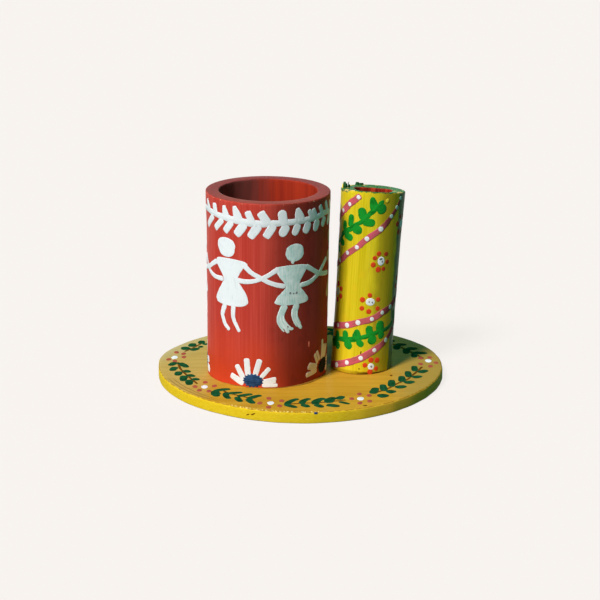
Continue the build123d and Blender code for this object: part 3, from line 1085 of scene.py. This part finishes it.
def paint_vine():
    """Leaves in pairs: those above the stem stand up from it, those below hang out to the right."""
    bm = bmesh.new()
    stroke(bm, SMALL.skin, VINE, 140, sides=8, lift=0.07, ragged=0.12)
    pointed = [
        ((-4.2, 17.6), (-4.2, 23.4), 5.0), ((103.4, 86.8), (101.5, 94.2), 4.8),
        ((105.4, 90), (107.5, 92.6), 2.8),
    ]
    places = [
        ((-17.3, 16), (-17.3, 20.4), 3.8), ((-10.8, 17), (-11.2, 21.8), 3.8),
        ((2.9, 20.6), (1.9, 25.7), 4.1), ((8.1, 22.4), (8.8, 28.4), 4.9),
        ((86.2, 74.4), (85.9, 79.7), 3.5), ((90.3, 76.9), (90.8, 83.8), 3.8),
        ((97.6, 81.6), (96.2, 88.1), 4.8), ((-18.9, 14.6), (-14.7, 11.2), 4.5),
        ((-10.9, 16), (-6.7, 12.7), 4.4), ((-3.9, 17.2), (-0.3, 14.6), 3.5),
        ((2.5, 19.6), (6.3, 16.6), 5.5), ((8.1, 21.8), (11.1, 19.3), 4.4),
        ((81.2, 69.4), (86.6, 66.8), 3.9), ((86.2, 72.6), (92.4, 70.8), 4.0),
        ((91.8, 76.8), (97.4, 75.4), 4.9), ((97.2, 80.7), (104, 80.4), 4.4),
        ((104.2, 88.4), (109.4, 87.8), 5.9),
    ]
    for arc in [*range(-60, -20, 7), *range(20, 80, 7)]:
        height = path_point(VINE, arc)
        places.append(((arc, height), (arc - 0.5, height + 5.6), 3.6))
        places.append(((arc + 2, height + 1), (arc + 6, height - 2.6), 3.7))
    leaves(bm, SMALL.skin, pointed, neck=0.8, taper=0.4, blunt=0.8)
    leaves(bm, SMALL.skin, places, neck=0.7, taper=0.92, blunt=0.95)
    finish_piece("vine", bm, VINE_GREEN)


def paint_tube_blossoms():
    """White hearts with orange dots round them: those in front, then more between the ribbons."""
    hearts = [
        (6.3, 60.3, 4.1, 4.8), (1.9, 38.4, 5, 4.1), (-20, 41, 4.2, 4), (4.7, 3.6, 3.6, 3.7),
        (20, 79, 4, 4),
    ]
    petals = [(4.7, 64.3), (9, 64), (2.7, 62), (10, 59.8), (2, 58.3), (5, 55.8), (8, 56.2)]
    petals += [(1.4, 42), (6.2, 39.8), (-2.4, 39.4), (-2.4, 34.8), (1.4, 33.3), (6.2, 35)]
    petals += [(-20, 45), (-16.6, 43), (-16.6, 39), (-20, 36.6), (-23.6, 39), (-23.6, 43)]
    petals += [(1.3, 4.4), (4.4, 7.2), (8, 7), (7.8, 2.5), (4.3, 0.9)]
    petals += [(15.6, 79.4), (18, 83), (22.4, 82.6), (24.4, 78.6), (21.8, 74.8), (17.4, 75)]
    for arc, height in [(38, 17), (62, 28), (40, 76), (60, 86), (32, 60), (-38, 29), (24, 47)]:
        hearts.append((arc, height, 4.2, 4.2))
        for step in range(6):
            angle = math.tau * (step + 0.3) / 6
            petals.append((arc + 4.1 * math.cos(angle), height + 4.2 * math.sin(angle)))
    bm = bmesh.new()
    for heart in hearts:
        dab(bm, SMALL.skin, *heart, sides=16)
    finish_piece("tube_blossom_hearts", bm, WHITE)
    bm = bmesh.new()
    dots(bm, SMALL.skin, petals, 2.8)
    finish_piece("tube_blossom_dots", bm, DOT_ORANGE)


# ---- on the disc: blossoms round its edge, and sprays of leaves between --------------

STEM_RING = 64.5  # the rear motifs' distances from the disc's middle
BLOSSOM_RING = 66.0
BLOSSOM_REACH = 5.6  # from a blossom's heart to its dots


def on_disc(bearing, radius):
    """A place on the disc by its bearing from the right, in degrees."""
    angle = math.radians(bearing)
    return (radius * math.cos(angle), radius * math.sin(angle))


def paint_disc_blossoms():
    """Five in front, each in its own way, and three behind with their dots evenly round."""
    blossoms = [
        ((-68.3, 14.5), [(-63.3, 15), (-63.8, 21), (-67.8, 23.5), (-71.3, 11), (-67.8, 8)]),
        ((-50, -36), [(-50, -28.5), (-45, -34.5), (-47.5, -43), (-52.5, -41.5), (-55, -35.5)]),
        ((-15.5, -62), [(-16.5, -54.5), (-10, -58.5), (-11, -66.5), (-16.5, -68.5), (-21, -62)]),
        ((30, -55), [(29.5, -47.5), (34.5, -50), (34.5, -59), (29.5, -61.8), (25.5, -55)]),
        ((68, 8.5), [(64, 13), (69, 14.5), (71.8, 5), (68.5, -1), (63.5, 3)]),
    ]
    for bearing in (50, 90, 128):
        x, y = on_disc(bearing, BLOSSOM_RING)
        around = [on_disc(bearing + 36 + 72 * step, BLOSSOM_REACH) for step in range(5)]
        blossoms.append(((x, y), [(x + across, y + back) for across, back in around]))
    hearts = bmesh.new()
    petals = bmesh.new()
    for (x, y), touches in blossoms:
        dab(hearts, disc_skin, x, y, 3.5, 5.6, sides=16)
        for petal_x, petal_y in touches:
            dab(petals, disc_skin, petal_x, petal_y, 2.7, 4.6, 8 * math.sin(petal_x))
    finish_piece("disc_blossom_hearts", hearts, WHITE)
    finish_piece("disc_blossom_dots", petals, BLOSSOM_PINK)


# each spray's stem, then its leaves by root, tip, width and, where it has one, bend
SPRAYS = [
    (
        [(-63.5, 25), (-60, 30), (-57, 36), (-53.5, 42)],
        [
            ((-62, 28), (-64.6, 33.8), 5.6), ((-60, 26.6), (-56, 31.6), 4.2),
            ((-60, 33.4), (-59.6, 40.4), 4.8), ((-56.5, 34), (-53.6, 33.2), 4.2),
            ((-55, 39), (-55, 45.4), 4.2), ((-53, 40), (-51.8, 37), 4.2),
        ],
    ),
    (
        [(-66, 6), (-64.5, -4), (-63, -9), (-60, -17), (-57, -24), (-54, -31)],
        [
            ((-67, 6), (-70.2, -0.4), 4.4), ((-67, -2), (-68.4, -9.4), 4.4),
            ((-64.5, -10), (-65, -17.4), 4.4), ((-61.6, -17), (-61.6, -26.8), 4.4),
            ((-58.5, -24), (-58.1, -33.2), 4.4), ((-65.2, 5), (-60.4, -3.4), 4.4),
            ((-62.3, -8), (-58.8, -12), 4.4), ((-60, -15.5), (-55.9, -19.2), 4.4),
            ((-57, -22), (-53.3, -24.8), 4.4),
        ],
    ),
    (
        [(-41.6, -40.7), (-36.6, -46.7), (-31.1, -50.7), (-25.6, -54.7)],
        [
            ((-43.8, -42.3), (-42.6, -51.8), 4.8, -0.1), ((-43.2, -48.3), (-41.6, -45.7), 2.6),
            ((-44.6, -43.7), (-36.4, -40.1), 4.4, 0.16), ((-38.4, -47.3), (-30.1, -45.3), 3.8, 0.06),
            ((-38.2, -44.8), (-36.3, -55.4), 3.6, -0.12), ((-32.6, -51.7), (-24.9, -47.7), 4.0, 0.05),
            ((-32.6, -52), (-30.2, -60.2), 3.7, -0.08), ((-27, -55.3), (-20.4, -49.4), 4.2, 0.05),
            ((-26.5, -54.4), (-23.6, -62.8), 4.0, -0.12),
        ],
    ),
    (
        [(-8.4, -64), (-0.2, -62.4), (5.4, -61.8), (11.8, -60.8), (16.2, -59.2), (22.4, -57)],
        [
            ((-7.5, -65), (-1.4, -55), 3.8, 0.12), ((-8.2, -63.6), (-2.1, -69), 3.9, -0.06),
            ((0.5, -64), (4.6, -54.6), 3.9, 0.17), ((0.8, -63.6), (4.2, -68.2), 4.1, -0.1),
            ((7.5, -64.6), (12.2, -54.4), 4.8, 0.22), ((7.2, -64.2), (11.1, -68.6), 4.1, -0.05),
            ((14.4, -62), (17.6, -53.2), 5.6, 0.2), ((12.6, -64.4), (19.2, -67.4), 4.7, 0.0),
            ((18.6, -56.6), (21.4, -50.8), 4.4, 0.05), ((18.9, -59.6), (24.3, -63.6), 2.9, 0.0),
        ],
    ),
    (
        [(39, -44.5), (45, -38), (50, -30), (55, -24), (58, -17), (61, -10), (64, -2)],
        [
            ((36.4, -47.4), (38.4, -37), 4.8), ((42.5, -43), (42, -31.7), 4.2),
            ((46.5, -36), (47, -24.3), 4.3), ((52.4, -28), (52.4, -17.7), 4.3),
            ((56.3, -20), (55.9, -9.3), 4.0), ((59.9, -10), (59.9, -0.3), 3.8),
            ((38.6, -51), (44.6, -49.6), 6.6), ((43.4, -44.4), (48.6, -43), 6.0),
            ((48.4, -37.2), (54.2, -34.6), 5.4), ((53.4, -29.6), (58.8, -26.8), 5.4),
            ((57.8, -20.4), (63.2, -18), 4.8), ((61.8, -12.4), (66.4, -7.4), 5.0),
        ],
    ),
    (
        [(65.5, 12.4), (61, 21.4), (56.5, 29.4), (52, 36.4), (46.5, 43.4)],
        [
            ((61.4, 24), (60.7, 14.2), 4.0), ((60.8, 23), (68.2, 22), 5.2),
            ((57.3, 30.4), (56.6, 21), 4.2), ((57, 30.4), (63.2, 30.4), 5.2),
            ((52.4, 37), (51.8, 28.2), 4.4), ((51.4, 37.4), (57.6, 38), 5.2),
            ((47.8, 42), (46.2, 33.8), 4.4), ((47.4, 43.4), (51.4, 46), 4.6),
        ],
    ),
]


def rear_spray(first, last):
    """A spray between two bearings round the disc, on a stem that follows its edge."""
    stem = [on_disc(first + (last - first) * step / 5, STEM_RING) for step in range(6)]
    places = []
    for step in range(5):
        root = first + (last - first) * (step + 0.1) / 5
        places.append((on_disc(root, STEM_RING + 1), on_disc(root + 5.5, STEM_RING + 5.5), 4.3))
        places.append((on_disc(root, STEM_RING - 1), on_disc(root + 6, STEM_RING - 6.5), 4.3))
    return stem, places


def paint_sprays():
    sprays = SPRAYS + [rear_spray(57, 82), rear_spray(97, 121)]
    for number, (stem, places) in enumerate(sprays, 1):
        bm = bmesh.new()
        stroke(bm, disc_skin, [(x, y, 1.3) for x, y in stem], 30, sides=6, lift=0.05)
        finish_piece(f"spray_{number}_stem", bm, STEM_BROWN)
        bm = bmesh.new()
        leaves(bm, disc_skin, places, neck=0.7, taper=0.75, blunt=1.1)
        finish_piece(f"spray_{number}_leaves", bm, SPRAY_GREEN)


# ---- splinters at the small cup's rim, and small stray marks -------------------------

# by bearing from the front, how far out, width, thickness, height over the rim, lean and tip's share
SLIVER = (-84, 16.2, 3.0, 0.9, 2.7, 0.0, 0.4)
SPLINTERS = [
    (-92, 15.0, 2.2, 2.2, 3.2, 0.1, 0.55),
    (-87, 14.8, 2.0, 1.6, 2.7, -0.2, 0.6),
    (-97, 14.7, 2.4, 2.8, 2.2, 0.0, 0.7),
    (-90, 12.9, 1.0, 0.7, 3.3, 0.2, 0.5),
    (-96, 12.6, 1.6, 1.1, 1.8, -0.1, 0.6),
    (-150, 16, 3.0, 1.6, 1.1, 0.0, 0.7),
    (-158, 15.8, 3.4, 1.5, 0.6, 0.0, 0.8),
]
SPLINTER_ROOT = 1.5  # how far down in the wall a splinter starts


def make_splinters(name, enamel, places):
    """Slivers of the small cup's wall that stand above its rim."""
    bm = bmesh.new()
    for bearing, radius, wide, thick, end, lean, tip in places:
        made = bmesh.ops.create_cone(
            bm, cap_ends=True, cap_tris=False, segments=8, radius1=1, radius2=tip, depth=1
        )
        for vert in made["verts"]:
            share = vert.co.z + 0.5
            angle = math.radians(bearing) + vert.co.x * wide / 2 / radius
            outward = radius + vert.co.y * thick / 2 + lean * share
            height = SMALL_LENGTH - SPLINTER_ROOT + (end + SPLINTER_ROOT) * share
            vert.co = SMALL.point(angle, height, outward)
    finish_piece(name, bm, enamel)


def leave_marks(name, enamel, touches, above=0.05):
    """Small touches: the skin they are on, then each one's place, size and turn."""
    bm = bmesh.new()
    for skin, *touch in touches:
        dab(bm, skin, *touch, sides=10, rings=5, above=above)
    finish_piece(name, bm, enamel)


BROWN_NICKS = [
    (SMALL.skin, -1.3, 10.9, 0.7, 2.0),
    (SMALL.skin, -1.7, 2.2, 0.6, 1.1),
    (disc_skin, 47, -17, 1.4, 2.6),
    (disc_skin, 32, -66, 2.2, 1.4),
    (disc_side, -24.6, 3.4, 0.7, 2.6, -60),
    (disc_side, -27.4, 2.8, 0.6, 1.8, -60),
]
GREY_SPECKS = [
    (LARGE.skin, 12.4, 50.6, 1.2, 1.2),
    (LARGE.skin, 16, 50.4, 1.3, 1.2),
    (LARGE.skin, 14.2, 50.2, 0.9, 0.8),
    (SMALL.skin, 6, 61.5, 1.9, 1.1, 10),
    (SMALL.skin, 6.9, 60.1, 0.7, 1.2, 20),
    (SMALL.skin, 1.3, 38.5, 0.8, 0.7),
    (SMALL.skin, 3, 38.2, 0.7, 1.1),
    (SMALL.skin, 4.8, 3.7, 1.0, 1.3, 30),
]


# ---- the stand, put together ---------------------------------------------------------

make_disc()
make_large_cup()
make_small_cup()
paint_garland()
paint_dancers()
paint_daisies()
paint_ribbons()
paint_vine()
paint_tube_blossoms()
paint_disc_blossoms()
paint_sprays()
make_splinters("rim_sliver", LEMON, [SLIVER])
make_splinters("rim_splinters", DARK_GREEN, SPLINTERS)
leave_marks("brown_nicks", STEM_BROWN, BROWN_NICKS)
leave_marks("grey_specks", GREY, GREY_SPECKS, 0.1)
leave_marks("edge_speck", NAVY, [(disc_side, 7, 5.5, 1.9, 1.3)])
leave_marks("lemon_drip", LEMON, [(SMALL.skin, 7, 92.4, 1.6, 2.4, -20)], 0.2)
leave_marks("red_drip", PALE_RED, [(LARGE.skin, 24.4, 21.4, 1.2, 3.2)])

for cup in ("large_cup", "small_cup"):
    for part, finish in (("glue", GLUE), ("pins", STEEL)):
        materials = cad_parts[f"{cup}_{part}"].data.materials
        materials.clear()
        materials.append(finish.material)


# ---- floor, light and camera ---------------------------------------------------------

PALE = paint(248, 243, 239)
SHADE = (0.03, 0.17, 0.14, 1.0)  # the greenish light from all round that fills the shadows
SHADE_FLOOR = (0.04, 0.11, 0.095, 1.0)  # the floor's colour in the light that surfaces share
FLOOR_MATT = (0.1, 0.085, 0.085, 1.0)  # what takes the stand's shadow
FLOOR_GLOW = 0.905  # with what the matt floor adds, it is as pale as the world
FLOOR_GAP = 0.1  # millimetres, so that the disc's underside stays clear of it

CAMERA_LENS = 131.1
CAMERA_PLACE = Vector((0, -1.1073, 0.3604))  # in metres, and so is its aim
CAMERA_AIM = Vector((-0.0008, 0, 0.0423))


def seen_directly(nodes):
    """1 for rays from the camera or by way of a mirror or glass, 0 for the light that surfaces share."""
    rays = nodes.node("ShaderNodeLightPath", {}, {})
    camera, glossy, clear = nodes.outputs(rays, ("Is Camera Ray", "Is Glossy Ray", "Is Transmission Ray"))
    return camera.math("MAXIMUM", camera, camera.math("MAXIMUM", glossy, clear))


def lay_floor():
    """A plain pale floor that takes a light shadow."""
    bm = bmesh.new()
    bmesh.ops.create_grid(bm, x_segments=1, y_segments=1, size=6)
    bmesh.ops.translate(bm, verts=bm.verts, vec=(0, 0, -FLOOR_GAP * MM))
    mesh = bpy.data.meshes.new("floor")
    bm.to_mesh(mesh)
    bm.free()
    floor = bpy.data.objects.new("floor", mesh)
    bpy.context.scene.collection.objects.link(floor)
    material = bpy.data.materials.new("pale_floor")
    material.use_nodes = True
    nodes = Nodes(material.node_tree)
    matt = nodes.node("ShaderNodeBsdfDiffuse", {}, {"Color": FLOOR_MATT})
    glow = nodes.node("ShaderNodeEmission", {}, {"Color": PALE, "Strength": FLOOR_GLOW})
    shown = nodes.node("ShaderNodeAddShader", {}, {0: matt, 1: glow})
    bounce = nodes.node("ShaderNodeBsdfDiffuse", {}, {"Color": SHADE_FLOOR})
    mixed = nodes.node("ShaderNodeMixShader", {}, {0: seen_directly(nodes), 1: bounce, 2: shown})
    nodes.node("ShaderNodeOutputMaterial", {}, {"Surface": mixed})
    mesh.materials.append(material)


def light_world():
    world = bpy.data.worlds.new("studio")
    bpy.context.scene.world = world
    world.use_nodes = True
    nodes = Nodes(world.node_tree)
    colour = nodes.mix(seen_directly(nodes), SHADE, PALE)
    air = nodes.node("ShaderNodeBackground", {}, {"Color": colour, "Strength": 1.0})
    nodes.node("ShaderNodeOutputWorld", {}, {"Surface": air})


def hang_sun(name, bearing, elevation, strength, spread, colour=(1, 1, 1)):
    """A distant lamp. Its bearing is from the stand's front, towards its right, in degrees."""
    lamp = bpy.data.lights.new(name, "SUN")
    lamp.energy = strength
    lamp.angle = math.radians(spread)
    lamp.color = colour
    bearing, elevation = math.radians(bearing), math.radians(elevation)
    level = math.cos(elevation)
    towards = Vector((math.sin(bearing) * level, -math.cos(bearing) * level, math.sin(elevation)))
    hung = bpy.data.objects.new(name, lamp)
    hung.rotation_euler = towards.to_track_quat("Z", "Y").to_euler()
    bpy.context.scene.collection.objects.link(hung)


def set_camera():
    camera = bpy.data.cameras.new("camera")
    camera.lens = CAMERA_LENS
    camera.sensor_width = 36
    placed = bpy.data.objects.new("camera", camera)
    placed.location = CAMERA_PLACE
    placed.rotation_euler = (CAMERA_AIM - CAMERA_PLACE).to_track_quat("-Z", "Y").to_euler()
    bpy.context.scene.collection.objects.link(placed)
    bpy.context.scene.camera = placed


lay_floor()
light_world()
hang_sun("key_lamp", bearing=-35, elevation=46, strength=3.5, spread=14, colour=(1.0, 0.968, 0.982))
hang_sun("side_lamp", bearing=-72, elevation=10, strength=0.52, spread=30)
hang_sun("back_lamp", bearing=180, elevation=8, strength=0.6, spread=50, colour=(0.3, 1.0, 0.8))
set_camera()
bpy.context.scene.view_settings.view_transform = "Standard"
